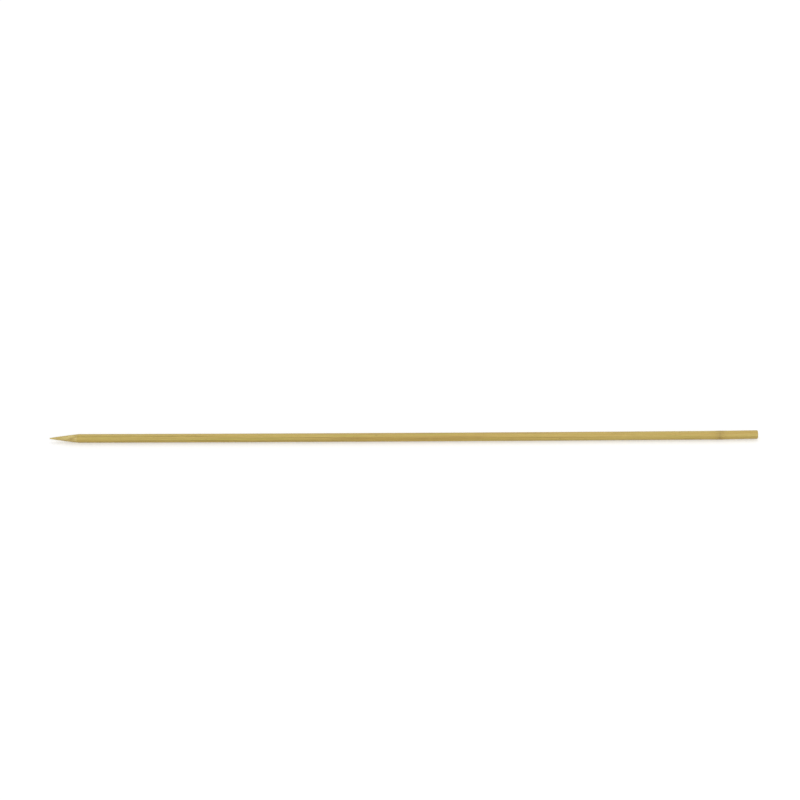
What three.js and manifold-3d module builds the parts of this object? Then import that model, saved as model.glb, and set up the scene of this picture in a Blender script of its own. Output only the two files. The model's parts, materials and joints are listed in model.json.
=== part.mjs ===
// A bamboo skewer: one round stick with a ground point at one end and a sawn butt at the other.
// Millimetres, +Z up. The butt's face is centred on the origin and looks along +X, and the point lies
// towards -X. The stick lies on its side, so its slight bow is in the XY plane.

import * as THREE from 'three';
import { mergeVertices } from 'three/addons/utils/BufferGeometryUtils.js';
import Module from 'manifold-3d';

// The whole stick
const LENGTH = 250;
const DIAMETER = 3.0;
const BOW_HEIGHT = 0.3;

// The ground point: a slightly bulging cone that ends in a blunt round tip
const POINT_LENGTH = 10;
const POINT_BULGE = 0.06;
const TIP_DIAMETER = 0.4;

// The sawn butt, with its edge broken by tumbling
const BUTT_BEVEL = 0.15;

// The two seams, where the upper and the lower half-round cutter met
const SEAM_STEP = 0.06;
const SEAM_ROUNDING = 0.12;
const FLASH_HEIGHT = 0.03;
const FLASH_WIDTH = 0.3;
const SEAM_ROLL = THREE.MathUtils.degToRad(24);

// The node of the culm: a low swelling where the stick also turns a little
const NODE_FROM_BUTT = 13.5;
const NODE_LENGTH = 5;
const NODE_SWELL = 0.06;
const NODE_TURN = THREE.MathUtils.degToRad(0.8);

// What is cut off around the finished shape before it is ground and sawn
const SAW_ALLOWANCE = 2;
const CUTTER_WALL = 2;

// How finely the curves are divided
const SIDES = 40;
const BOW_STEPS = 30;
const NODE_STEPS = 14;
const NODE_REACH = 1.5;
const CONE_STEPS = 6;
const TIP_STEPS = 5;

const radius = DIAMETER / 2;
const tipRadius = TIP_DIAMETER / 2;
const nodeX = -NODE_FROM_BUTT;
const halfSide = Math.PI / SIDES;
const evenly = (from, to, steps) =>
  Array.from({ length: steps + 1 }, (_, i) => THREE.MathUtils.lerp(from, to, i / steps));

// How far the stick's axis lies to one side at x. The bow is a parabola from end to end that bulges
// towards -Y. The turn at the node is a soft corner that bulges the same way, and a straight line taken
// off it keeps both ends on the X axis.
function axisOffset(x) {
  const along = -x / LENGTH;
  const bow = -4 * BOW_HEIGHT * along * (1 - along);
  const corner = (at) => (NODE_LENGTH / 4) * Math.log1p(Math.exp((4 * (at - nodeX)) / NODE_LENGTH));
  const turn = Math.tan(NODE_TURN) * (corner(x) - (1 - along) * corner(0));
  return bow + turn;
}

// The radius of the milled section at an angle, as a share of the plain radius. Each half is an arc, and
// the two arcs stand aside from each other by the seam step. A thin ridge of flash runs along each seam.
function sectionShare(angle) {
  const across = Math.sin(angle - SEAM_ROLL);
  const along = Math.cos(angle - SEAM_ROLL);
  const step = (SEAM_STEP / 2) * along * Math.tanh((across * radius) / SEAM_ROUNDING);
  const flash = FLASH_HEIGHT * Math.exp(-(((2 * across * radius) / FLASH_WIDTH) ** 2));
  return (radius + step + flash) / radius;
}

const round = () => 1;

// The swelling's height at x: a bell curve about as long as the node
const swellAt = (x) => NODE_SWELL * Math.exp(-(((2 * (x - nodeX)) / NODE_LENGTH) ** 2));

// A solid of revolution about the X axis from [x, radius] pairs that start and end on the axis, with x
// rising. Each ring is moved sideways with the stick's axis, and reshaped by the section if it has one.
// A cutter starts half a side round, so that its edges cross the blank's faces and not its edges.
function turned(profile, share, start = 0) {
  const points = profile.map(([x, r]) => new THREE.Vector2(r, x));
  const geometry = new THREE.LatheGeometry(points, SIDES, start).rotateZ(-Math.PI / 2);
  geometry.deleteAttribute('normal');
  geometry.deleteAttribute('uv');
  const position = geometry.attributes.position;
  for (let i = 0; i < position.count; i++) {
    const scale = share(Math.atan2(position.getZ(i), position.getY(i)));
    position.setY(i, position.getY(i) * scale + axisOffset(position.getX(i)));
    position.setZ(i, position.getZ(i) * scale);
  }
  return mergeVertices(geometry, 1e-4);
}

// The milled stick before its ends are finished: a little too long at both ends
function millBlank() {
  const start = -LENGTH - SAW_ALLOWANCE;
  const reach = NODE_REACH * NODE_LENGTH;
  const stations = [
    ...evenly(start, nodeX - reach, BOW_STEPS),
    ...evenly(nodeX - reach, nodeX + reach, NODE_STEPS).slice(1),
    SAW_ALLOWANCE,
  ];
  const wall = stations.map((x) => [x, radius + swellAt(x)]);
  return turned([[start, 0], ...wall, [SAW_ALLOWANCE, 0]], sectionShare);
}

// What the grinder takes away: a solid with a hollow in the shape of the point. The round tip is an arc,
// and the cone's side is a shallow parabola that runs on past the shank.
function pointCutter() {
  const tip = evenly(0, Math.PI / 2, TIP_STEPS)
    .map((a) => [-LENGTH + tipRadius * (1 - Math.cos(a)), tipRadius * Math.sin(a)]);
  const coneLength = POINT_LENGTH - tipRadius;
  const overrun = 1 + 1 / CONE_STEPS;
  const cone = evenly(0, overrun, CONE_STEPS + 1)
    .map((t) => [
      -LENGTH + tipRadius + coneLength * t,
      THREE.MathUtils.lerp(tipRadius, radius, t) + 4 * POINT_BULGE * t * (1 - t),
    ]);
  const [mouthX, mouthRadius] = cone.at(-1);
  const outer = mouthRadius + CUTTER_WALL;
  const back = -LENGTH - SAW_ALLOWANCE - CUTTER_WALL;
  const hollow = [...tip, ...cone.slice(1)].reverse();
  return turned([[back, 0], [back, outer], [mouthX, outer], ...hollow], round, halfSide);
}

// What the saw takes away: a disc whose flat face is the butt, with a raised rim that bevels the edge
function buttCutter() {
  const rim = BUTT_BEVEL + CUTTER_WALL;
  const outer = radius - BUTT_BEVEL + rim;
  const back = SAW_ALLOWANCE + CUTTER_WALL;
  const profile = [[0, 0], [0, radius - BUTT_BEVEL], [-rim, outer], [back, outer], [back, 0]];
  return turned(profile, round, halfSide);
}

const wasm = await Module();
wasm.setup();

// A closed solid from a mesh, and a mesh from a closed solid
function toSolid(geometry) {
  return new wasm.Manifold(new wasm.Mesh({
    numProp: 3,
    vertProperties: Float32Array.from(geometry.attributes.position.array),
    triVerts: Uint32Array.from(geometry.index.array),
  }));
}

function toGeometry(solid) {
  const mesh = solid.getMesh();
  const geometry = new THREE.BufferGeometry();
  geometry.setAttribute('position', new THREE.BufferAttribute(mesh.vertProperties, 3));
  geometry.setIndex(new THREE.BufferAttribute(mesh.triVerts, 1));
  geometry.computeVertexNormals();
  return geometry;
}

// The finished stick: milled, then ground to a point, then sawn to length
const stick = toSolid(millBlank())
  .subtract(toSolid(pointCutter()))
  .subtract(toSolid(buttCutter()));

const bamboo = new THREE.MeshStandardMaterial({ color: 0xc4b07a, roughness: 0.55, metalness: 0 });
const skewer = new THREE.Mesh(toGeometry(stick), bamboo);
skewer.name = 'skewer';

const part = new THREE.Group();
part.add(skewer);
export default part;
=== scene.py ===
# %% [markdown]
# # A bamboo skewer
# A bamboo skewer is one stick, milled round from a split of bamboo, ground to a point and sawn off square.
# It is so plain that everything rests on its surface: long fibres, open vessels, two faint seams, one
# node, a ground cone and a sawn end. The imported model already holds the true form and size. It is loaded
# first, and every later step is worked out from it.

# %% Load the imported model
import json
import math

import bpy
import numpy as np
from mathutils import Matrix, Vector

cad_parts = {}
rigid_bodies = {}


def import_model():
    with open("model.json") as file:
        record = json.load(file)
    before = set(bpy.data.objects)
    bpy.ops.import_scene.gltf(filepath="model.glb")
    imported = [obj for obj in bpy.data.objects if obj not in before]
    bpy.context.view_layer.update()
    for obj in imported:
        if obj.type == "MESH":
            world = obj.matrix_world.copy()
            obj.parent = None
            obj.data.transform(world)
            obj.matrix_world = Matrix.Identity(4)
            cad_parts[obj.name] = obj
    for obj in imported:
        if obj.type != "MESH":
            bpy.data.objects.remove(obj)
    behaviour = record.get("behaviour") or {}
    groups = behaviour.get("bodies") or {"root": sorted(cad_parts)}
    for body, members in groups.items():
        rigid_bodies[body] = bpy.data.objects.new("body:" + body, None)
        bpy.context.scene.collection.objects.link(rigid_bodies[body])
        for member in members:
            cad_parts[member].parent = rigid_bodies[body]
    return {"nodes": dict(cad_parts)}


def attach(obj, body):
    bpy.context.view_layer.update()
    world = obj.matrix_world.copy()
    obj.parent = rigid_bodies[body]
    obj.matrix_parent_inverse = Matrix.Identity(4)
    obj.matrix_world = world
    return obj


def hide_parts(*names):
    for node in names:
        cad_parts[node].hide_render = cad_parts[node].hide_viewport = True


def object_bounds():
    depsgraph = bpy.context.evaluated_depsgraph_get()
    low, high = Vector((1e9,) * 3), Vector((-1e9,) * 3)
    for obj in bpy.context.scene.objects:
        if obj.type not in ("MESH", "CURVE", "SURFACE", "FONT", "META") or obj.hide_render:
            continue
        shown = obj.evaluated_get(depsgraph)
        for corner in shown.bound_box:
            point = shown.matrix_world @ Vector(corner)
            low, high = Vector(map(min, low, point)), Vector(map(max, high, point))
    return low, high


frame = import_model()
CAD_LOW, CAD_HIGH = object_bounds()
MM = 0.001
print("solid box in mm:", [round(c / MM, 2) for c in (*CAD_LOW, *CAD_HIGH)])

# %% [markdown]
# ## The measures of the stick
# All lengths below are in millimetres, because the finest things here are hundredths of one. They become
# metres only when a mesh is made. The length comes from the loaded solid, and the rest are the dimensions
# that the solid was made with. A later step measures how well they agree.

# %% Name the measures
TURN = 2 * math.pi
LENGTH = (CAD_HIGH.x - CAD_LOW.x) / MM
RADIUS = 1.5
TIP_RADIUS = 0.2
POINT_LENGTH = 10.0
POINT_BULGE = 0.06
GRINDER_REACH = 1.17
BUTT_BEVEL = 0.15
BOW_HEIGHT = 0.3
SEAM_STEP = 0.06
SEAM_ROUNDING = 0.12
FLASH_HEIGHT = 0.03
FLASH_WIDTH = 0.3
SEAM_ROLL = math.radians(24)
NODE_X = -13.5
NODE_LENGTH = 5.0
NODE_SWELL = 0.06
NODE_TURN = math.radians(0.8)
print(f"the stick is {LENGTH:.1f} mm long and {2 * RADIUS:.1f} mm thick")

# %% [markdown]
# ## The stick's axis and section
# A real stick is never quite straight or quite round. It bows, because the split dries unevenly, and it
# turns a little at the node. Its section is two arcs, because two half-round cutters mill it from above
# and below, and where they meet there is a small step and a thin ridge. Both are functions of plain
# numpy arrays, so a whole surface can be worked out in one call.

# %% Work out the axis and the section
def axis_offset(x):
    """Sideways place of the axis at x: a parabola from end to end that bulges towards -Y, plus a soft
    corner at the node, less a straight line that brings both ends back onto the X axis."""
    along = -x / LENGTH
    bow = -4 * BOW_HEIGHT * along * (1 - along)

    def corner(at):
        return NODE_LENGTH / 4 * np.log1p(np.exp(4 * (at - NODE_X) / NODE_LENGTH))

    return bow + math.tan(NODE_TURN) * (corner(x) - (1 - along) * corner(0.0))


def section_share(angle):
    """Radius of the milled section as a share of the plain radius: one, plus half the seam step with the
    sign of the half it lies in, plus a bell-shaped ridge at each seam."""
    across = np.sin(angle - SEAM_ROLL) * RADIUS
    step = SEAM_STEP / 2 * np.cos(angle - SEAM_ROLL) * np.tanh(across / SEAM_ROUNDING)
    flash = FLASH_HEIGHT * np.exp(-((2 * across / FLASH_WIDTH) ** 2))
    return (RADIUS + step + flash) / RADIUS


def milled_radius(x, angle):
    """Radius of the milled stick: the plain radius and the node's bell-shaped swelling, times the share
    of the section."""
    swell = NODE_SWELL * np.exp(-((2 * (x - NODE_X) / NODE_LENGTH) ** 2))
    return (RADIUS + swell) * section_share(angle)


def ground_radius(x):
    """Radius of the ground point: an arc round the tip, then a parabola that starts at the tip's radius
    and reaches the shank's at the point's full length. Past the grinder's reach nothing is ground."""
    from_tip = np.maximum(x + LENGTH, 0)
    arc = np.sqrt(np.maximum(TIP_RADIUS**2 - (TIP_RADIUS - from_tip) ** 2, 0))
    t = (from_tip - TIP_RADIUS) / (POINT_LENGTH - TIP_RADIUS)
    cone = TIP_RADIUS + (RADIUS - TIP_RADIUS) * t + 4 * POINT_BULGE * t * (1 - t)
    return np.where(from_tip < TIP_RADIUS, arc, np.where(t > GRINDER_REACH, 2 * RADIUS, cone))


def sawn_radius(x):
    """Radius of the bevel at the butt: it grows by a millimetre for each millimetre away from the face."""
    return RADIUS - BUTT_BEVEL - x


# %% Compare the formulas with the solid
FACE_MARGIN = 0.001

node = frame["nodes"]["skewer"]
corners = np.empty(len(node.data.vertices) * 3, np.float32)
node.data.vertices.foreach_get("co", corners)
corners = corners.reshape(-1, 3).astype(float) / MM
wall = corners[(corners[:, 0] > TIP_RADIUS - LENGTH) & (corners[:, 0] < -FACE_MARGIN)]
sideways = wall[:, 1] - axis_offset(wall[:, 0])
angles = np.arctan2(wall[:, 2], sideways)
formula = np.minimum(milled_radius(wall[:, 0], angles), ground_radius(wall[:, 0]))
formula = np.minimum(formula, sawn_radius(wall[:, 0]))
gaps = np.abs(np.hypot(sideways, wall[:, 2]) - formula)
print(f"the formulas and the solid's corners differ by {gaps.max():.4f} mm at most")

# %% [markdown]
# ## Random but repeatable unevenness
# Wood is uneven at every scale, but a random pattern has to be the same each time. Here a table of random
# numbers with a fixed seed is spread over the surface, and the values between are blended smoothly. Round
# the stick the table closes on itself, so no seam shows.

# %% Make a smooth random field
def uneven(u, v, cells, seed):
    """Smooth random values from -1 to 1. The random numbers stand one unit apart in u and cells times
    round the turn v (0 to 1). A point between takes its four neighbours, weighted by 3f^2 - 2f^3 of its
    distances f."""
    u, v = np.broadcast_arrays(u, v)
    u = u - u.min()
    table = np.random.default_rng(seed).uniform(-1, 1, (int(u.max()) + 2, cells))
    row, column = np.floor(u).astype(int), np.floor(v * cells).astype(int)
    fu, fv = u - row, v * cells - column
    fu, fv = fu * fu * (3 - 2 * fu), fv * fv * (3 - 2 * fv)
    here, there = column % cells, (column + 1) % cells
    near = table[row, here] * (1 - fv) + table[row, there] * fv
    far = table[row + 1, here] * (1 - fv) + table[row + 1, there] * fv
    return near * (1 - fu) + far * fu


# %% [markdown]
# ## The bundles inside the bamboo
# Bamboo has no rings. Hard dark bundles run the length of the culm, each a sheath of fibre round two open
# vessels and a smaller one, and pale soft tissue fills the space between. They stand in staggered rows,
# small and dense towards the outside of the culm, larger and further apart towards its hollow. A stick
# cut from the wall shows them as long stripes on its side, as long ovals on its cone and as dots on its
# end. One set of curves in space gives all three, so that is what is made here.

# %% Lay out the bundles
OUTER_SIDE = math.radians(62)
INNER_SPACING, OUTER_SPACING = 0.66, 0.42
SPACING_JITTER = 0.13
ROW_STEP = math.sqrt(3) / 2
OVERHANG = 0.25
BUNDLE_REACH = RADIUS + OVERHANG
BUNDLE_SEED = 11

draw = np.random.default_rng(BUNDLE_SEED)
laid = []
depth, row = -BUNDLE_REACH, 0
while depth < BUNDLE_REACH:
    spacing = np.interp(depth, (-RADIUS, RADIUS), (INNER_SPACING, OUTER_SPACING))
    count = int(2 * BUNDLE_REACH / spacing) + 2
    across = (np.arange(count) - count / 2 + row % 2 / 2) * spacing
    laid += [(depth, c, spacing) for c in across if math.hypot(depth, c) < BUNDLE_REACH]
    depth += spacing * ROW_STEP
    row += 1
depths, acrosses, SPACING = np.array(laid).T
jitter = draw.normal(0, SPACING_JITTER, (len(laid), 2)).T * SPACING
BUNDLE_DEPTH, BUNDLE_ACROSS = depths + jitter[0], acrosses + jitter[1]
print(len(laid), "bundles in the section")

# %% [markdown]
# A bundle's caps and vessels are circles. Each is named by its place in depth and across and its radius,
# as shares of the bundle's own size. No two bundles are quite alike: each has its own size, tilt, tone and
# vessels. Along the stick each one wanders on two slow waves, named by their height and length, and is
# pushed aside where it passes the node.

# %% Make the bundles differ
BUNDLE_SHARE, BUNDLE_SIZES, BUNDLE_TILT = 0.37, (0.75, 1.25), math.radians(14)
CAPS = ((0.42, 0.0, 0.5), (-0.5, 0.0, 0.4), (0.0, 0.62, 0.33), (0.0, -0.62, 0.33))
VESSELS = ((-0.02, 0.3, 0.17), (-0.02, -0.3, 0.17), (-0.3, 0.0, 0.1))
VESSEL_SIZES = (0.6, 1.25)
WANDERS = ((0.05, 118.0), (0.025, 47.0))
GRAIN_SLOPE = 0.0022
NODE_SWIRL, NODE_SWIRL_LENGTH = 0.2, 1.7

BUNDLE_SIZE = BUNDLE_SHARE * SPACING * draw.uniform(*BUNDLE_SIZES, len(laid))
BUNDLE_TURN = draw.normal(0, BUNDLE_TILT, len(laid))
VESSEL_SIZE = draw.uniform(*VESSEL_SIZES, (len(VESSELS), len(laid)))
TONE = draw.uniform(-1, 1, len(laid))
PHASES = draw.uniform(0, TURN, (len(WANDERS), 2, len(laid)))
SWIRLS = draw.normal(0, NODE_SWIRL, (2, len(laid)))
print(f"a bundle is {2 * BUNDLE_SIZE.min():.2f} to {2 * BUNDLE_SIZE.max():.2f} mm across")


# %% Measure how far a point lies from the bundles
def bundle_places(x):
    """Depth and across places of every bundle at each x: the laid-out place, plus two slow sine waves,
    plus the slope of the grain, plus a bell-shaped shift at the node."""
    x = x[:, None]
    waves = sum(height * np.sin(TURN * x / length + phase[:, None])
                for (height, length), phase in zip(WANDERS, PHASES))
    swirl = SWIRLS[:, None] * np.exp(-(((x - NODE_X) / NODE_SWIRL_LENGTH) ** 2))
    shift = waves + swirl
    return BUNDLE_DEPTH + shift[0], BUNDLE_ACROSS + shift[1] + GRAIN_SLOPE * (x + LENGTH / 2)


def read_bundles(x, radius, angle):
    """For each ring x and each point of it: the distance to the nearest sheath's edge, the distance to
    the nearest vessel's edge (both below zero inside), and the tone of that bundle. A sheath is four
    round caps of fibre, of which the one towards the outside of the culm is the largest. The two large
    vessels and the small one lie in the gap between the caps."""
    places = bundle_places(x)
    deep = (radius * np.cos(angle - OUTER_SIDE))[..., None] - places[0][:, None, :]
    wide = (radius * np.sin(angle - OUTER_SIDE))[..., None] - places[1][:, None, :]
    nearest = (np.hypot(deep, wide) - BUNDLE_SIZE).argmin(-1)
    pick = (*np.indices(nearest.shape), nearest)
    size, tilt = BUNDLE_SIZE[nearest], BUNDLE_TURN[nearest]
    deep, wide = deep[pick] / size, wide[pick] / size
    deep, wide = (deep * np.cos(tilt) + wide * np.sin(tilt), wide * np.cos(tilt) - deep * np.sin(tilt))
    caps = [np.hypot(deep - d, wide - w) - r for d, w, r in CAPS]
    tubes = [np.hypot(deep - d, wide - w) - r * VESSEL_SIZE[i][nearest]
             for i, (d, w, r) in enumerate(VESSELS)]
    return np.min(caps, 0) * size, np.min(tubes, 0) * size, TONE[nearest]


# %% [markdown]
# ## Rings and columns
# The stick is one grid of rings and columns, wrapped round the axis. A grid wastes faces where nothing
# happens, so the rings are close together only at the tip, the point, the node and the butt, and the
# shank between has few. The columns are the same all along, fine enough for a single vessel.

# %% Place the rings and the columns
COLUMNS = 208
FINE_REACH = 1.6
CONE_END = -LENGTH + POINT_LENGTH + FINE_REACH
NODE_REACH = 6.5
NODE_START, NODE_END = NODE_X - NODE_REACH, NODE_X + NODE_REACH
BUTT_START = -1.2
TIP_RINGS, BEVEL_RINGS, FACE_RINGS = 9, 5, 45
CONE_STEP, SHANK_STEP, NODE_STEP, STUB_STEP, BUTT_STEP = 0.085, 1.6, 0.17, 0.5, 0.12


def steps(start, end, size):
    """Evenly spaced places from start up to, but without, end, about size apart."""
    return np.linspace(start, end, max(1, round((end - start) / size)), endpoint=False)


wall_x = np.concatenate([
    -LENGTH + TIP_RADIUS * (1 - np.cos(np.linspace(0, TURN / 4, TIP_RINGS, endpoint=False))),
    steps(-LENGTH + TIP_RADIUS, CONE_END, CONE_STEP),
    steps(CONE_END, NODE_START, SHANK_STEP),
    steps(NODE_START, NODE_END, NODE_STEP),
    steps(NODE_END, BUTT_START, STUB_STEP),
    steps(BUTT_START, -BUTT_BEVEL, BUTT_STEP),
    np.linspace(-BUTT_BEVEL, 0, BEVEL_RINGS),
])
face_share = np.linspace(1, 0, FACE_RINGS + 1)[1:]
turn = np.arange(COLUMNS) / COLUMNS
angle = TURN * turn
print(len(wall_x), "rings along the wall and", len(face_share), "on the butt")

# %% [markdown]
# ## The surface of the wall
# The milled stick and the ground cone are two surfaces, and the real one is whichever lies further in,
# just as a grinder takes away what stands out. Each gets its own fine relief. The cutters leave the hard
# sheaths standing, tear the soft tissue a little lower and open some vessels into grooves. The grinder
# leaves fine rings and faint flats, and the node's hard knots leave it rough. All relief goes inwards, so
# the dressed stick never grows past the solid.

# %% Name the relief
SOFT_DEPTH, SOFT_MASK = 0.011, (-0.03, 0.05)
VESSEL_DEPTH, OPEN_MASK = 0.035, (0.02, -0.02)
TEAR_SHARE = 0.35
CONE_EDGE = 0.03
FULL_RELIEF_RADIUS = 0.65 * RADIUS

# A height or share, a length along the stick, a number of cells round it and a seed
LONG_TEARS, SHORT_TEARS = (0.4, 11.0, 120, 4), (0.6, 3.5, 70, 3)
MILL_WAVES = (0.004, 2.2, 6, 5)
GRIND_RINGS, GRIND_FLATS = (0.005, 0.17, 5, 6), (0.03, 2.6, 7, 14)
NODE_KNOBS = (0.022, 0.45, 34, 9)
print(f"soft tissue is torn {SOFT_DEPTH} mm deep, and a vessel opens {VESSEL_DEPTH} mm deep")


def blend(value, low, high):
    """0 below low, 1 above high and a smooth 3f^2 - 2f^3 between. It also falls, where low is above high."""
    f = np.clip((value - low) / (high - low), 0, 1)
    return f * f * (3 - 2 * f)


def humps(x, height, length, cells, seed):
    """Smooth random heights over the wall: half the height, times one plus an uneven value."""
    return height * (1 + uneven(x / length, turn, cells, seed)) / 2


# %% Work out the wall
x = wall_x[:, None]
milled = milled_radius(x, angle)
ground = np.broadcast_to(ground_radius(x), milled.shape)
plain = np.minimum(np.minimum(milled, ground), sawn_radius(x))
cut_by_cone = blend(milled - ground, 0, CONE_EDGE)
sheath, vessel, tone = read_bundles(wall_x, plain, angle)
tears = sum(share * uneven(x / length, turn, cells, seed)
            for share, length, cells, seed in (SHORT_TEARS, LONG_TEARS))
soft = SOFT_DEPTH * blend(sheath, *SOFT_MASK) * (1 - TEAR_SHARE + TEAR_SHARE * tears)
open_vessels = VESSEL_DEPTH * blend(vessel, *OPEN_MASK)
milling = humps(x, *MILL_WAVES) * (1 - cut_by_cone)
grinding = (humps(x, *GRIND_RINGS) + humps(x, *GRIND_FLATS)) * cut_by_cone
knobs = humps(x, *NODE_KNOBS) * np.exp(-(((x - NODE_X) / NODE_SWIRL_LENGTH) ** 2))
tip_fade = blend(x, -LENGTH, -LENGTH + 2 * TIP_RADIUS) * np.minimum(1, plain / FULL_RELIEF_RADIUS)
relief = (soft + open_vessels + milling + grinding + knobs) * tip_fade
wall_radius = plain - relief
print(f"the relief is {relief.mean():.3f} mm deep on average and {relief.max():.3f} mm at most")

# %% [markdown]
# ## Nicks along the shank
# Tumbling in a drum polishes the sticks and also nicks them. A nick is long along the grain, narrow
# across it and only a few hundredths of a millimetre deep. A bump in the finish could draw it as well,
# but then the exported mesh would lack it, so each nick is pressed into the wall as a smooth dent.

# %% Press the nicks into the wall
NICKS, NICK_SEED = 46, 29
NICK_LENGTHS, NICK_WIDTHS, NICK_DEPTHS = (0.6, 5.0), (0.05, 0.16), (0.012, 0.045)
BUTT_CLEARANCE = 2.0

draw = np.random.default_rng(NICK_SEED)
nick_x = draw.uniform(-LENGTH + POINT_LENGTH, -BUTT_CLEARANCE, NICKS)
nick_angle = draw.uniform(0, TURN, NICKS)
nick_length = draw.uniform(*NICK_LENGTHS, NICKS)
nick_width = draw.uniform(*NICK_WIDTHS, NICKS)
nick_depth = draw.uniform(*NICK_DEPTHS, NICKS)
nicks = np.zeros_like(wall_radius)
for at, bearing, long, wide, deep in zip(nick_x, nick_angle, nick_length, nick_width, nick_depth):
    around = RADIUS * np.abs((angle - bearing + TURN / 2) % TURN - TURN / 2)
    nicks += deep * np.exp(-((2 * (x - at) / long) ** 2) - (2 * around / wide) ** 2)
wall_radius -= nicks
print("deepest nick:", round(float(nicks.max()), 3), "mm")

# %% [markdown]
# ## The sawn butt
# A saw leaves a flat face with fine parallel scratches. The vessels are open holes there, and the soft
# tissue between the bundles shrinks back as it dries, so each bundle is a low bump with two or three pits.
# The face could be a flat disc of its own. Here it is more rings of the same grid, drawn in towards the
# middle, and it reads the same bundles, so each pit on the end is the mouth of a line along the stick.

# %% Work out the butt's face
SAW_PITCH, SAW_DEPTH, SAW_BEARING, SAW_SEED = 0.09, 0.012, math.radians(35), 8
PIT_DEPTH, PIT_MASK = 0.1, (0.012, -0.02)
SHRINK_DEPTH, SHRINK_MASK = 0.02, (-0.02, 0.06)
RIM = (1, 0.96)

face_radius = face_share[:, None] * wall_radius[-1]
face_sheath, face_vessel, face_tone = read_bundles(np.zeros(FACE_RINGS), face_radius, angle)
stroke = face_radius * np.cos(angle - SAW_BEARING) / SAW_PITCH
scratches = SAW_DEPTH * (1 + uneven(stroke, np.zeros_like(stroke), 1, SAW_SEED)) / 2
pits = PIT_DEPTH * blend(face_vessel, *PIT_MASK)
shrinkage = SHRINK_DEPTH * blend(face_sheath, *SHRINK_MASK)
face_x = -(scratches + pits + shrinkage) * blend(face_share, *RIM)[:, None]
print("the butt's face is", round(float(-face_x.min()), 3), "mm deep at its deepest pit")

# %% [markdown]
# ## From rings to a mesh
# The first ring is a single point at the tip, and the last one a single point in the middle of the butt.
# Between two rings each pair of columns makes one four-sided face. Written this way round, the faces
# look outwards, and the volume that the mesh encloses comes out positive, which is a good test of it.

# %% Build meshes from grids
def ring_faces(rings, columns):
    """Corner numbers of the faces between the inner rings, as an array of rows of four, with the last
    column joined to the first. Vertex 0 is the first pole, and ring r starts at 1 + r * columns."""
    r, c = np.meshgrid(np.arange(rings - 1), np.arange(columns), indexing="ij")
    after = (c + 1) % columns
    low, high = 1 + r * columns, 1 + (r + 1) * columns
    return np.stack([low + c, low + after, high + after, high + c], -1).reshape(-1, 4)


def closed_tube(first_pole, rings, last_pole):
    """Points and faces of a closed tube from two poles and an array of rings, (rings, columns, 3)."""
    count, columns = rings.shape[:2]
    points = np.concatenate([[first_pole], rings.reshape(-1, 3), [last_pole]])
    c = np.arange(columns)
    after, last = (c + 1) % columns, 1 + (count - 1) * columns
    start_fan = np.stack([np.zeros_like(c), 1 + after, 1 + c], -1)
    end_fan = np.stack([last + c, last + after, np.full_like(c, len(points) - 1)], -1)
    return points, [*start_fan.tolist(), *ring_faces(count, columns).tolist(), *end_fan.tolist()]


def mesh_object(name, points, faces):
    """A smooth mesh object in the scene, from points in millimetres."""
    mesh = bpy.data.meshes.new(name)
    mesh.from_pydata((np.asarray(points) * MM).tolist(), [], faces)
    mesh.polygons.foreach_set("use_smooth", np.ones(len(faces), bool))
    mesh.update()
    made = bpy.data.objects.new(name, mesh)
    bpy.context.scene.collection.objects.link(made)
    return made


def enclosed_volume(made):
    """Volume in cubic millimetres: a sixth of the sum of a . (b x c) over the mesh's triangles."""
    mesh = made.data
    mesh.calc_loop_triangles()
    points = np.empty(len(mesh.vertices) * 3)
    mesh.vertices.foreach_get("co", points)
    corner = np.empty(len(mesh.loop_triangles) * 3, np.int32)
    mesh.loop_triangles.foreach_get("vertices", corner)
    a, b, c = points.reshape(-1, 3)[corner.reshape(-1, 3)].transpose(1, 0, 2) / MM
    return float((a * np.cross(b, c)).sum() / 6)


# %% Build the stick
all_x = np.concatenate([np.broadcast_to(x, wall_radius.shape)[1:], face_x[:-1]])
all_radius = np.concatenate([wall_radius[1:], face_radius[:-1]])
ring_points = np.stack([
    all_x,
    axis_offset(all_x) + all_radius * np.cos(angle),
    all_radius * np.sin(angle),
], -1)
tip_pole, butt_pole = (-LENGTH, axis_offset(-LENGTH), 0), (face_x[-1].mean(), 0, 0)
stick = mesh_object("skewer_stick", *closed_tube(tip_pole, ring_points, butt_pole))
triangles = sum(len(face.vertices) - 2 for face in stick.data.polygons)
print(triangles, "triangles around", round(enclosed_volume(stick), 1), "cubic mm")

# %% [markdown]
# ## Lifted fibres
# Wherever a tool cuts across the grain, a few fibres come loose at one end and lift, which a finger drawn
# along such a stick can feel. Blender's hair would do in a picture, but only meshes are exported, so each
# is a closed tube a few hundredths of a millimetre thick. It starts inside the wood, runs along it and
# bends away from it. The fibres on the cone point at the tip and the others at the butt, and all keep to
# the bearings where the solid's box leaves room for them.

# %% Shape a lifted fibre
FIBRE_SIDES, FIBRE_RINGS = 5, 9
FIBRE_ROOT, FIBRE_TAPER = 0.07, 2 / 3


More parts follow.
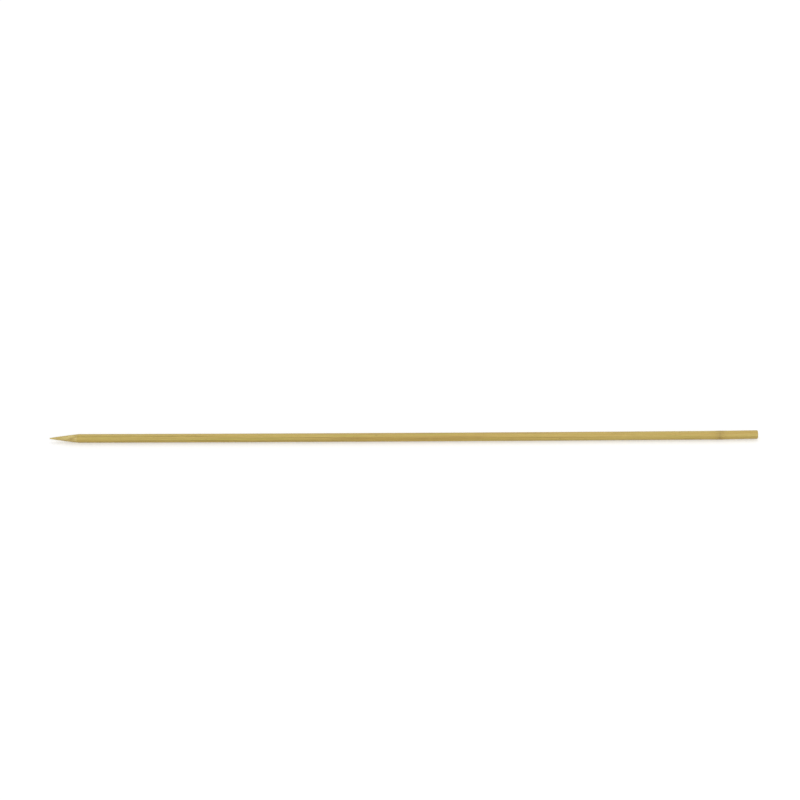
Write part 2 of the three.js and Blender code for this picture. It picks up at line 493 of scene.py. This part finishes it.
def lifted_fibre(at, bearing, length, direction, thick, lift, curl):
    """Rings of one fibre. At a share t of its length it lies one thickness inside the wood, deeper by the
    root's depth times the cube of 1 - t, and higher by the lift times t squared. Its bearing turns by the
    curl times t squared, and it loses the taper's share of its thickness."""
    t = np.linspace(0, 1, FIBRE_RINGS)[:, None]
    x = at + direction * length * t
    bearing = bearing + curl * t**2
    surface = np.minimum(np.minimum(milled_radius(x, bearing), ground_radius(x)), sawn_radius(x))
    centre = surface - thick - FIBRE_ROOT * (1 - t) ** 3 + lift * t**2
    width = thick * (1 - FIBRE_TAPER * t)
    side = direction * TURN * np.arange(FIBRE_SIDES) / FIBRE_SIDES
    out, around = centre + width * np.cos(side), width * np.sin(side)
    y = axis_offset(x) + out * np.cos(bearing) - around * np.sin(bearing)
    z = out * np.sin(bearing) + around * np.cos(bearing)
    return np.stack([np.broadcast_to(x, y.shape), y, z], -1)


# %% Lay out the lifted fibres
FIBRE_SEED = 5
THICKNESSES, LIFTS, CURL = (0.008, 0.018), (0.02, 0.09), 0.05
BEARING_SPREAD = math.radians(20)

# How many, between which two x, between which two lengths, and which way along X they point
FIBRE_PLACES = [
    (9, (-LENGTH + 3, -LENGTH + 10), (0.5, 1.5), -1),
    (6, (-LENGTH + 14, NODE_START), (1.0, 3.0), 1),
    (5, (-3.2, -1.9), (0.6, 1.4), 1),
]

draw = np.random.default_rng(FIBRE_SEED)
fibres = []
for count, places, lengths, direction in FIBRE_PLACES:
    for _ in range(count):
        bearing = TURN / 8 + TURN / 4 * draw.integers(4) + draw.uniform(-1, 1) * BEARING_SPREAD
        fibres.append(lifted_fibre(draw.uniform(*places), bearing, draw.uniform(*lengths), direction,
                                   draw.uniform(*THICKNESSES), draw.uniform(*LIFTS), draw.normal(0, CURL)))
print(len(fibres), "lifted fibres")

# %% Build the lifted fibres
fibre_points, fibre_faces = [], []
for rings in fibres:
    points, faces = closed_tube(rings[0].mean(0), rings, rings[-1].mean(0))
    fibre_faces += [[len(fibre_points) + corner for corner in face] for face in faces]
    fibre_points += points.tolist()
lifted = mesh_object("lifted_fibres", fibre_points, fibre_faces)
print("the lifted fibres enclose", round(enclosed_volume(lifted), 4), "cubic mm")

# %% [markdown]
# ## What the finish needs to know
# The finish is painted by nodes, and they have to know where each point lies in the bamboo. The mesh
# carries that as attributes: the place along and across the grain with the bow taken out, the distances to
# the nearest sheath and vessel, the tone of that bundle, and which tool cut the surface. Places and
# distances are in millimetres. Between two vertices a distance changes evenly, so an edge drawn from it
# stays sharp.

# %% Prepare to store an attribute
def with_poles(rings):
    """One value per vertex: the first pole, the rings in order and the last pole. A pole takes the mean
    of its neighbours."""
    return np.concatenate([rings[:1].mean(1), rings.reshape(-1, *rings.shape[2:]), rings[-1:].mean(1)])


def store(mesh, name, values):
    """Puts an array with a number or a vector for each vertex on the mesh, under that name."""
    kind, field = ("FLOAT", "value") if values.ndim == 1 else ("FLOAT_VECTOR", "vector")
    layer = mesh.attributes.new(name, kind, "POINT")
    layer.data.foreach_set(field, np.ascontiguousarray(values, np.float32).ravel())


def stacked(on_wall, on_face):
    """The wall's rings without the tip's, and the face's without its centre, as they are in the mesh."""
    return np.concatenate([on_wall[1:], np.broadcast_to(on_face, face_radius.shape)[:-1]])


# %% Store the attributes
RIPPLE, RIPPLE_REACH, RIPPLE_LENGTH, RIPPLE_CELLS = 0.16, 2.4, 1.1, 16
RIPPLE_SEEDS = (12, 13)
BEVEL_MASK = (-1.15 * BUTT_BEVEL, -0.9 * BUTT_BEVEL)

near_node = RIPPLE * np.exp(-(((all_x - NODE_X) / RIPPLE_REACH) ** 2))
ripples = [near_node * uneven(all_x / RIPPLE_LENGTH, turn, RIPPLE_CELLS, seed) for seed in RIPPLE_SEEDS]
grain = np.stack([all_x, all_radius * np.cos(angle) + ripples[0],
                  all_radius * np.sin(angle) + ripples[1]], -1)
bevel = blend(np.broadcast_to(x, milled.shape), *BEVEL_MASK)
store(stick.data, "grain", with_poles(grain))
store(stick.data, "sheath", with_poles(stacked(sheath, face_sheath)))
store(stick.data, "vessel", with_poles(stacked(vessel, face_vessel)))
store(stick.data, "tone", with_poles(stacked(tone, face_tone)))
store(stick.data, "ground", with_poles(stacked(cut_by_cone, 0.0)))
store(stick.data, "sawn", with_poles(stacked(bevel, 1.0)))
print("attributes:", [a.name for a in stick.data.attributes if a.domain == "POINT"])

# %% [markdown]
# ## A map for baking
# When the finish is baked into a picture, a stick 80 times longer than thick would leave only a few
# pixels round it. So its skin is laid out in strips: two for the long shank, and a third row that gives
# the cone, the node with the butt's end, and the sawn face far more pixels for their size.

# %% Read the corners of the faces
HALF_TURN = 0.5


def face_corners(mesh):
    """For every corner of a face, its vertex and its face. For every face, its first corner and how many
    it has."""
    vertex = np.empty(len(mesh.loops), np.int32)
    mesh.loops.foreach_get("vertex_index", vertex)
    sizes = np.empty(len(mesh.polygons), np.int32)
    mesh.polygons.foreach_get("loop_total", sizes)
    return vertex, np.repeat(np.arange(len(sizes)), sizes), np.cumsum(sizes) - sizes, sizes


def corner_turns(vertex, face_of, starts, pole):
    """The turn round the stick at every corner, from 0 to 1. A corner that is more than half a turn below
    its face's furthest one has gone once round, so one is added. A pole takes the mean of its face's
    other corners."""
    turns = np.where(pole, 0, (vertex - 1) % COLUMNS / COLUMNS)
    furthest = np.maximum.reduceat(turns, starts)[face_of]
    turns = turns + ((furthest - turns > HALF_TURN) & ~pole)
    middle = np.add.reduceat(np.where(pole, 0, turns), starts) / np.add.reduceat(1 - pole, starts)
    return np.where(pole, middle[face_of], turns)


# %% Lay the skin out in strips
MARGIN = 0.006
ROW_HEIGHT = 1 / 3
SHANK_HALF = (CONE_END + NODE_START) / 2
PAST_BUTT = 0.1
FACE_CENTRE, FACE_SIZE = (0.89, 0.16), 0.2

# From which x to which, from which U to which, and in which row of the map
STRIPS = [
    (-LENGTH, CONE_END, 0.00, 0.44, 0),
    (CONE_END, SHANK_HALF, 0.00, 1.00, 1),
    (SHANK_HALF, NODE_START, 0.00, 1.00, 2),
    (NODE_START, PAST_BUTT, 0.44, 0.78, 0),
]


def strip_map(mesh):
    """U runs along a strip and V round the stick. A face belongs to the strip that its middle lies in. The
    butt's face is drawn as it looks from outside."""
    vertex, face_of, starts, sizes = face_corners(mesh)
    pole = (vertex == 0) | (vertex == len(mesh.vertices) - 1)
    turns = corner_turns(vertex, face_of, starts, pole)
    place = with_poles(grain)[vertex]
    middle_x = (np.add.reduceat(place[:, 0], starts) / sizes)[face_of]
    u, v = np.zeros(len(vertex)), np.zeros(len(vertex))
    for start, end, left, right, row in STRIPS:
        inside = (middle_x >= start) & (middle_x < end)
        share = (place[:, 0] - start) / (end - start)
        u[inside] = (left + MARGIN + (right - left - 2 * MARGIN) * share)[inside]
        v[inside] = (ROW_HEIGHT * row + MARGIN + (ROW_HEIGHT - 2 * MARGIN) * turns)[inside]
    rim_first = 1 + (len(wall_x) - 2) * COLUMNS
    on_face = (np.minimum.reduceat(vertex, starts) >= rim_first)[face_of]
    u[on_face] = (FACE_CENTRE[0] + FACE_SIZE / 2 * place[:, 1] / RADIUS)[on_face]
    v[on_face] = (FACE_CENTRE[1] + FACE_SIZE / 2 * place[:, 2] / RADIUS)[on_face]
    layer = mesh.uv_layers.new(name="OFBake")
    layer.data.foreach_set("uv", np.stack([u, v], -1).astype(np.float32).ravel())
    return u, v


u, v = strip_map(stick.data)
print(f"the map runs from {min(u.min(), v.min()):.3f} to {max(u.max(), v.max()):.3f}")

# %% [markdown]
# ## Writing a finish as sums
# A finish is a tree of nodes, and a tree that is wired by hand is hard to read. Here a small class stands
# for one output of a node, and its operators add the Math nodes, so a finish reads like the formula that
# it is. Colours go through Mix nodes, because a Math node would turn them grey.

# %% Wrap one output of a node
class Value:
    """One number or vector that a node gives. Sums with it, and with plain numbers, add Math nodes."""

    def __init__(self, tree, socket):
        self.tree, self.socket = tree, socket

    def _math(self, operation, first, second=0.0):
        """A Math node on one or two inputs."""
        return self.tree.add("ShaderNodeMath", {"operation": operation}, {0: first, 1: second})

    def __add__(self, other):
        return self._math("ADD", self, other)

    def __radd__(self, other):
        return self._math("ADD", other, self)

    def __sub__(self, other):
        return self._math("SUBTRACT", self, other)

    def __rsub__(self, other):
        return self._math("SUBTRACT", other, self)

    def __mul__(self, other):
        return self._math("MULTIPLY", self, other)

    def __rmul__(self, other):
        return self._math("MULTIPLY", other, self)

    def __abs__(self):
        return self._math("ABSOLUTE", self)

    def ramp(self, low, high, share=1.0):
        """0 at low and the share at high, eased between. Low may be the larger of the two."""
        (start, first), (end, last) = sorted([(low, 0.0), (high, share)])
        sockets = {"Value": self, "From Min": start, "From Max": end, "To Min": first, "To Max": last}
        return self.tree.add("ShaderNodeMapRange", {"interpolation_type": "SMOOTHSTEP"}, sockets)


# %% [markdown]
# Every node comes from one method, which makes its settings first and then its values and links. A Mix
# node has sockets of the same name for numbers, vectors and colours, so its colours go by number.

# %% Wrap the node tree
COLOUR_SHARE, COLOUR_FIRST, COLOUR_SECOND, COLOUR_RESULT = 0, 6, 7, 2


class Tree:
    """The nodes of a finish or of the surround."""

    def __init__(self, node_tree):
        self.nodes, self.links = node_tree.nodes, node_tree.links

    def add(self, kind, settings=None, sockets=None, output=0):
        """A node of a kind, with its settings made first and then the values or links of its sockets."""
        node = self.nodes.new(kind)
        for name, value in (settings or {}).items():
            setattr(node, name, value)
        self.feed(node, sockets or {})
        return Value(self, node.outputs[output])

    def feed(self, node, sockets):
        """Links each Value to its socket of the node, and sets each plain number or colour on its own."""
        for name, value in sockets.items():
            if isinstance(value, Value):
                self.links.new(value.socket, node.inputs[name])
            else:
                node.inputs[name].default_value = value

    def attribute(self, name, output="Fac"):
        """A number or a vector that the mesh carries."""
        return self.add("ShaderNodeAttribute", {"attribute_name": name}, output=output)

    def pattern(self, vector, along, across, detail, roughness):
        """Smooth noise from about 0 to 1, around a middle of 0.5. It has so many cells per unit along the
        vector's first part and across it, and so much detail and roughness."""
        factors = {0: vector, 1: (along, across, across)}
        place = self.add("ShaderNodeVectorMath", {"operation": "MULTIPLY"}, factors)
        sockets = {"Vector": place, "Scale": 1.0, "Detail": detail, "Roughness": roughness}
        return self.add("ShaderNodeTexNoise", {}, sockets)

    def mix(self, share, first, second):
        """Two colours, mixed by a share of the second."""
        settings = {"data_type": "RGBA", "blend_type": "MIX"}
        sockets = {COLOUR_SHARE: share, COLOUR_FIRST: first, COLOUR_SECOND: second}
        return self.add("ShaderNodeMix", settings, sockets, output=COLOUR_RESULT)


class Finish(Tree):
    """One material and the nodes in it."""

    def __init__(self, name):
        self.material = bpy.data.materials.new(name)
        self.material.use_nodes = True
        super().__init__(self.material.node_tree)

    def shade(self, sockets):
        """Feeds the material's own shader."""
        self.feed(self.nodes["Principled BSDF"], sockets)


# %% Turn screen colours into light
def colour(red, green, blue):
    """A linear colour from the 0 to 255 values that a screen shows, by the usual screen curve."""
    shown = np.array([red, green, blue]) / 255
    linear = np.where(shown <= 0.04045, shown / 12.92, ((shown + 0.055) / 1.055) ** 2.4)
    return (*linear.tolist(), 1.0)


# %% [markdown]
# ## The finish of bare bamboo
# The stick is bare: no lacquer, only what the drum polished. Its colour is straw yellow, a little greener in
# some places and warmer in others, because the soft tissue dries unevenly. On that lie the darker sheaths
# and the brown lines of the vessels. The node is a faint, wavy scar in a brown patch. The ground cone is
# paler and duller. The sawn end is darker: its sheaths are darker brown, and its open vessel holes are
# painted near-black, as painted shade in the holes. A picture of wood, wrapped round the stick, would run on
# past the cut edges as if nothing had been cut there. So the finish reads the bundles that shaped the
# relief, and adds noise for what is finer than they are.

# %% Name the colours
SOFT_TISSUE = colour(212, 192, 108)
SOFT_WARM = colour(208, 180, 97)
SOFT_GREEN = colour(197, 185, 90)
PALE_STREAK = colour(228, 211, 137)
FIBRE = colour(187, 157, 73)
FIBRE_DARK = colour(148, 116, 49)
VESSEL_LINE = colour(104, 76, 32)
FLECK = colour(112, 88, 44)
NODE_PATCH = colour(150, 122, 62)
NODE_SCAR = colour(104, 78, 38)
FRESH_CUT = colour(225, 207, 142)
CUT_FIBRE = colour(178, 144, 74)
SAWN_TISSUE = colour(208, 186, 118)
SAWN_DARK = colour(172, 144, 84)
SAWN_FIBRE = colour(138, 102, 48)
# Near-black for the open vessel holes on the sawn end: painted shade in the holes.
PAINTED_HOLE_SHADE = colour(66, 45, 21)
print("the soft tissue in linear colour:", [round(part, 3) for part in SOFT_TISSUE[:3]])

# %% [markdown]
# The patterns are noise in the grain's own space, so each is stretched along the stick. A pattern is
# named by its cells per millimetre along and across the grain, its detail and its roughness.

# %% Name the patterns
MIDDLE = 0.5
PATTERNS = {
    "slow": (0.011, 0.5, 1.0, 0.5),
    "patches": (0.05, 1.1, 2.0, 0.5),
    "streaks": (0.09, 7.0, 3.0, 0.6),
    "hairs": (0.35, 26.0, 2.0, 0.6),
    "fine": (1.1, 60.0, 2.0, 0.65),
    "flecks": (0.45, 2.6, 1.0, 0.5),
    "ragged": (0.9, 4.5, 3.0, 0.65),
    "dashes": (1.9, 8.0, 2.0, 0.6),
    "grinding": (16.0, 0.7, 2.0, 0.6),
    "cells": (1.0, 19.0, 3.0, 0.7),
}
print(len(PATTERNS), "patterns in the grain's space")

# %% [markdown]
# ## The split surface
# The soft tissue comes first, and each later mix lays one more thing over it: warm and green stretches,
# pale streaks, the sheaths, the fine dark hairs of single fibres, and last a few flecks. A layer is named
# by the two values of its pattern that it is eased between and, where it doesn't count fully, its share.

# %% Mix the split surface
WARM, GREEN, PALE = (0.35, 0.65), (0.5, 0.75, 0.7), (0.55, 0.8, 0.5)
TONE_REACH, DARK_SHEATH, SHEATH_SHARE = 0.35, (0.3, 1.0), 0.62
HAIRS, STREAKS, FINE, FLECKS = (0.62, 0.36, 0.26), (0.6, 0.3, 0.14), (0.6, 0.36, 0.16), (0.73, 0.79, 0.55)


def split_colour(f, noise, sheath):
    """The colour of the milled shank, without its vessels and its node."""
    tissue = f.mix(noise["slow"].ramp(*WARM), SOFT_WARM, SOFT_TISSUE)
    tissue = f.mix(noise["patches"].ramp(*GREEN), tissue, SOFT_GREEN)
    tissue = f.mix(noise["streaks"].ramp(*PALE), tissue, PALE_STREAK)
    darkness = (f.attribute("tone") * TONE_REACH + noise["streaks"]).ramp(*DARK_SHEATH)
    shade = f.mix(sheath * SHEATH_SHARE, tissue, f.mix(darkness, FIBRE, FIBRE_DARK))
    darker = noise["hairs"].ramp(*HAIRS) + noise["streaks"].ramp(*STREAKS) + noise["fine"].ramp(*FINE)
    shade = f.mix(darker, shade, FIBRE_DARK)
    return f.mix(noise["flecks"].ramp(*FLECKS), shade, FLECK)


# %% [markdown]
# ## The node's mark and the sawn end
# The node's mark is a patch, a scatter of dashes and a thin scar, each by its distance from the node. The
# distance is made ragged, so the three wander like the growth line that they are. The sawn end shows cut
# cells, with the sheaths dark among them, and the vessels' open holes are painted near-black as painted
# shade.

# %% Mix the node's mark and the sawn end
NODE_RAGGED = 2.0
PATCH, SCAR = (3.4, 0.4, 0.17), (0.45, 0.05, 0.18)
DASHES, DASH_REACH = (0.52, 0.66), (1.7, 0.4, 0.22)
CELLS = (0.4, 0.65, 0.5)
END_RAGGED, END_SHEATH = 0.08, (0.03, -0.05, 0.8)
# Where the painted shade of the open vessel holes starts and where it is full, by the distance to a vessel.
HOLE_SHADE_RAMP = (0.012, -0.022)


def with_node(f, noise, along, shade):
    """A colour with the node's mark laid over it."""
    distance = abs(along - NODE_X + (noise["ragged"] - MIDDLE) * NODE_RAGGED)
    shade = f.mix(distance.ramp(*PATCH), shade, NODE_PATCH)
    shade = f.mix(distance.ramp(*DASH_REACH) * noise["dashes"].ramp(*DASHES), shade, NODE_SCAR)
    return f.mix(distance.ramp(*SCAR), shade, NODE_SCAR)


def end_colour(f, noise):
    """The colour of the sawn end: cut cells and darker sheaths, with painted shade in the open vessel holes.
    """
    end = f.mix(noise["cells"].ramp(*CELLS), SAWN_TISSUE, SAWN_DARK)
    ragged = f.attribute("sheath") + (noise["cells"] - MIDDLE) * END_RAGGED
    end = f.mix(ragged.ramp(*END_SHEATH), end, SAWN_FIBRE)
    # The open vessel holes are painted near-black: painted shade.
    return f.mix(f.attribute("vessel").ramp(*HOLE_SHADE_RAMP), end, PAINTED_HOLE_SHADE)


# %% [markdown]
# ## The whole finish
# The cone, the vessels and the node are laid over the split surface, and the sawn end takes its place at
# the butt. The shine follows the same patterns as the colour: a cut surface is duller and a sheath a
# little more polished. What is too fine for the mesh is a bump of a few hundredths of a millimetre.

# %% Mix the bamboo
SHEATH_RAGGED, SHEATH = 0.16, (0.05, -0.07)
VESSEL_RAGGED, VESSEL = 0.03, (0.022, -0.012)
CUT_SHARE, VESSEL_SHARE = 0.55, 0.78
PLAIN_DULL, STREAK_DULL, CUT_DULL, SAWN_DULL, SHEATH_POLISH = 0.5, 0.25, 0.16, 0.22, 0.06
SHINE = 0.42
HAIR_HEIGHT, FINE_HEIGHT, STREAK_HEIGHT, GRIND_HEIGHT, VESSEL_HEIGHT = 0.5, 0.35, 0.5, 0.8, -0.4
CELL_HEIGHT = 0.9
BUMP_DEPTH, BUMP_STRENGTH = 0.02 * MM, 0.8


def bamboo_finish():
    """Split surface, cone, vessels, node and sawn end, each laid over what comes before it."""
    f = Finish("bamboo")
    grain = f.attribute("grain", "Vector")
    noise = {name: f.pattern(grain, *numbers) for name, numbers in PATTERNS.items()}
    streaks, hairs, cells = noise["streaks"], noise["hairs"], noise["cells"]
    cut, sawn = f.attribute("ground"), f.attribute("sawn")
    sheath = (f.attribute("sheath") + (streaks - MIDDLE) * SHEATH_RAGGED).ramp(*SHEATH)
    vessel = (f.attribute("vessel") + (hairs - MIDDLE) * VESSEL_RAGGED).ramp(*VESSEL)

    shade = split_colour(f, noise, sheath)
    shade = f.mix(cut * CUT_SHARE, shade, f.mix(sheath, FRESH_CUT, CUT_FIBRE))
    shade = f.mix(vessel * VESSEL_SHARE, shade, VESSEL_LINE)
    along = f.add("ShaderNodeSeparateXYZ", {}, {0: grain}, output="X")
    shade = f.mix(sawn, with_node(f, noise, along, shade), end_colour(f, noise))

    dull = (PLAIN_DULL + (streaks - MIDDLE) * STREAK_DULL + cut * CUT_DULL + sawn * SAWN_DULL
            - sheath * SHEATH_POLISH)
    height = ((hairs * HAIR_HEIGHT + noise["fine"] * FINE_HEIGHT) * (1 - sawn) + streaks * STREAK_HEIGHT
              + noise["grinding"] * cut * GRIND_HEIGHT + vessel * VESSEL_HEIGHT
              + cells * sawn * CELL_HEIGHT)
    bump = {"Height": height, "Distance": BUMP_DEPTH, "Strength": BUMP_STRENGTH}
    f.shade({"Base Color": shade, "Roughness": dull, "Specular IOR Level": SHINE,
             "Normal": f.add("ShaderNodeBump", {}, bump)})
    return f.material


bamboo = bamboo_finish()
stick.data.materials.append(bamboo)
print(len(bamboo.node_tree.nodes), "nodes in the finish")


# %% Mix the finish of the lifted fibres
LOOSE_PATTERN, LOOSE = (0.8, 3.0, 1.0, 0.5), (0.3, 0.7)


def loose_finish():
    """Bare fibre: paler where a noise in the stick's own space is high."""
    f = Finish("loose_fibre")
    place = f.add("ShaderNodeTexCoord", output="Object")
    in_millimetres = f.add("ShaderNodeVectorMath", {"operation": "MULTIPLY"}, {0: place, 1: (1 / MM,) * 3})
    paleness = f.pattern(in_millimetres, *LOOSE_PATTERN).ramp(*LOOSE)
    f.shade({"Base Color": f.mix(paleness, FIBRE, PALE_STREAK), "Roughness": PLAIN_DULL,
             "Specular IOR Level": SHINE})
    return f.material


lifted.data.materials.append(loose_finish())
print(lifted.data.materials[0].name, "is on the lifted fibres")

# %% [markdown]
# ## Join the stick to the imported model
# The stick stands in for the plain solid, whose place and size it keeps. It and its lifted fibres ride on
# the one body that there is.

# %% Ride and replace
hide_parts("skewer")
for piece in (stick, lifted):
    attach(piece, "root")
print("on the root body:", stick.name, "and", lifted.name)

# %% [markdown]
# ## The floor
# The stick lies on a plain white surface. A white that is painted on would still look grey in soft light,
# so the camera sees a little more than the paint gives back, and so do mirror-like reflections. The
# light on the stick isn't changed by that, and the stick's own shadow stays. Far from the lamps the floor
# gets less light, so the addition grows there and no grey band shows at the horizon.

# %% Make the floor
FLOOR_HALF = 3000.0
FLOOR_PAINT, FLOOR_DULL, NO_SHINE = (0.8, 0.8, 0.8, 1.0), 0.9, 0.0
NO_LIGHT = (0.0, 0.0, 0.0, 1.0)
NEAR_LIFT, FAR_LIFT = (0.32, 0.32, 0.32, 1.0), (0.64, 0.64, 0.64, 1.0)
LIFT_GROWS = (0.15, 1.3)
ANY_RAY = (0.0, 0.5)


def white_seen(tree):
    """1 for rays from the camera, from a mirror or through glass, and 0 for the light that falls on
    things."""
    camera, mirror, glass = (tree.add("ShaderNodeLightPath", output=kind)
                             for kind in ("Is Camera Ray", "Is Glossy Ray", "Is Transmission Ray"))
    return (camera + mirror + glass).ramp(*ANY_RAY)


def floor_finish():
    """White paint, plus a plain glow that only the camera and mirrors see. The glow is eased from one
    grey to a lighter one by the distance from the floor's middle in metres."""
    f = Finish("floor_white")
    place = f.add("ShaderNodeTexCoord", output="Object")
    distance = f.add("ShaderNodeVectorMath", {"operation": "LENGTH"}, {0: place}, output="Value")
    glow = f.mix(distance.ramp(*LIFT_GROWS), NEAR_LIFT, FAR_LIFT)
    f.shade({"Base Color": FLOOR_PAINT, "Roughness": FLOOR_DULL, "Specular IOR Level": NO_SHINE,
             "Emission Color": f.mix(white_seen(f), NO_LIGHT, glow), "Emission Strength": 1.0})
    return f.material


floor_corners = [(sx * FLOOR_HALF, sy * FLOOR_HALF, CAD_LOW.z / MM)
                 for sx, sy in ((-1, -1), (1, -1), (1, 1), (-1, 1))]
floor = mesh_object("floor", floor_corners, [(0, 1, 2, 3)])
floor.data.materials.append(floor_finish())
print("the floor lies at", round(CAD_LOW.z / MM, 3), "mm")

# %% [markdown]
# ## The light
# The light is plain and soft: a white surround, a broad lamp from above and behind, and another from the
# front. Each lamp is stated by its bearing and height in degrees, its distance and size in metres, and its
# share of the light on a white card at the stick, which its power follows from. The shares and the surround
# add up to about one, so a colour shows as it was written.

# %% Light the stick
SURROUND, WHITE = 0.58, (1.0, 1.0, 1.0, 1.0)
LAMPS = {
    "top_lamp": {"bearing": 170, "height": 66, "distance": 1.3, "size": 0.9, "share": 0.17},
    "front_lamp": {"bearing": 24, "height": 40, "distance": 1.4, "size": 0.8, "share": 0.2},
}
middle = Vector(((CAD_LOW.x + CAD_HIGH.x) / 2, 0, 0))


def surround(strength):
    """A white world that gives light of this strength, and that the camera and mirrors see as plain
    white."""
    world = bpy.data.worlds.new("surround")
    world.use_nodes = True
    bpy.context.scene.world = world
    w = Tree(world.node_tree)
    seen = strength + white_seen(w) * (1 - strength)
    w.feed(w.nodes["Background"], {"Color": WHITE, "Strength": seen})


def soft_lamp(name, bearing, height, distance, size, share):
    """A square lamp that faces the stick. A lamp of power P at a distance d lights a card below it with
    P / (pi^2 d^2) times the sine of its height, so P is worked out from the share that is wanted."""
    bearing, height = math.radians(bearing), math.radians(height)
    lamp = bpy.data.lights.new(name, "AREA")
    lamp.shape, lamp.size = "SQUARE", size
    lamp.energy = share * math.pi**2 * distance**2 / math.sin(height)
    made = bpy.data.objects.new(name, lamp)
    way = Vector((math.sin(bearing) * math.cos(height), -math.cos(bearing) * math.cos(height),
                  math.sin(height)))
    made.location = middle + way * distance
    made.rotation_mode = "QUATERNION"
    made.rotation_quaternion = way.to_track_quat("Z", "Y")
    bpy.context.scene.collection.objects.link(made)
    print(f"{name}: {lamp.energy:.2f} W")


surround(SURROUND)
for name, measures in LAMPS.items():
    soft_lamp(name, **measures)

# %% [markdown]
# ## The camera
# The photograph gives the view. A camera could be moved by hand until both pictures look alike, but the
# two ends of the stick stand at known places in the photograph. That fixes how large the stick is, how far
# off centre and how much it leans. The camera's distance and how steeply it looks down are read from the
# photograph's perspective.

# %% Place the camera
IMAGE_SIZE = 800
TIP_PIXEL, BUTT_PIXEL = Vector((50.0, 438.4)), Vector((758.0, 434.5))
CAMERA_DISTANCE = 0.812
CAMERA_HEIGHT = math.radians(37)
SENSOR = 36.0

span = BUTT_PIXEL - TIP_PIXEL
pixels_per_metre = span.length / (LENGTH * MM)
centre_pixel = (TIP_PIXEL + BUTT_PIXEL) / 2
right_of_middle = centre_pixel.x - IMAGE_SIZE / 2
below_middle = centre_pixel.y - IMAGE_SIZE / 2
lean = math.atan2(-span.y, span.x)

camera_data = bpy.data.cameras.new("camera")
camera_data.sensor_width = SENSOR
camera_data.lens = pixels_per_metre * CAMERA_DISTANCE * SENSOR / IMAGE_SIZE
camera = bpy.data.objects.new("camera", camera_data)
bpy.context.scene.collection.objects.link(camera)
bpy.context.scene.camera = camera

azimuth = math.asin(math.sin(lean) / math.sin(CAMERA_HEIGHT))
back = Vector((-math.sin(azimuth) * math.cos(CAMERA_HEIGHT),
               -math.cos(azimuth) * math.cos(CAMERA_HEIGHT), math.sin(CAMERA_HEIGHT)))
camera.location = middle + back * CAMERA_DISTANCE
camera.rotation_mode = "QUATERNION"
camera.rotation_quaternion = back.to_track_quat("Z", "Y")
across, upward = (camera.rotation_quaternion @ Vector(v) for v in ((1, 0, 0), (0, 1, 0)))
camera.location += across * (-right_of_middle / pixels_per_metre)
camera.location += upward * (below_middle / pixels_per_metre)
print(f"lens {camera_data.lens:.1f} mm, {math.degrees(azimuth):.2f} degrees off the stick's square view")

# %% [markdown]
# ## Show
# Colours are shown as they are, with no film look.

# %% Show the colours as they are
bpy.context.scene.view_settings.view_transform = "Standard"
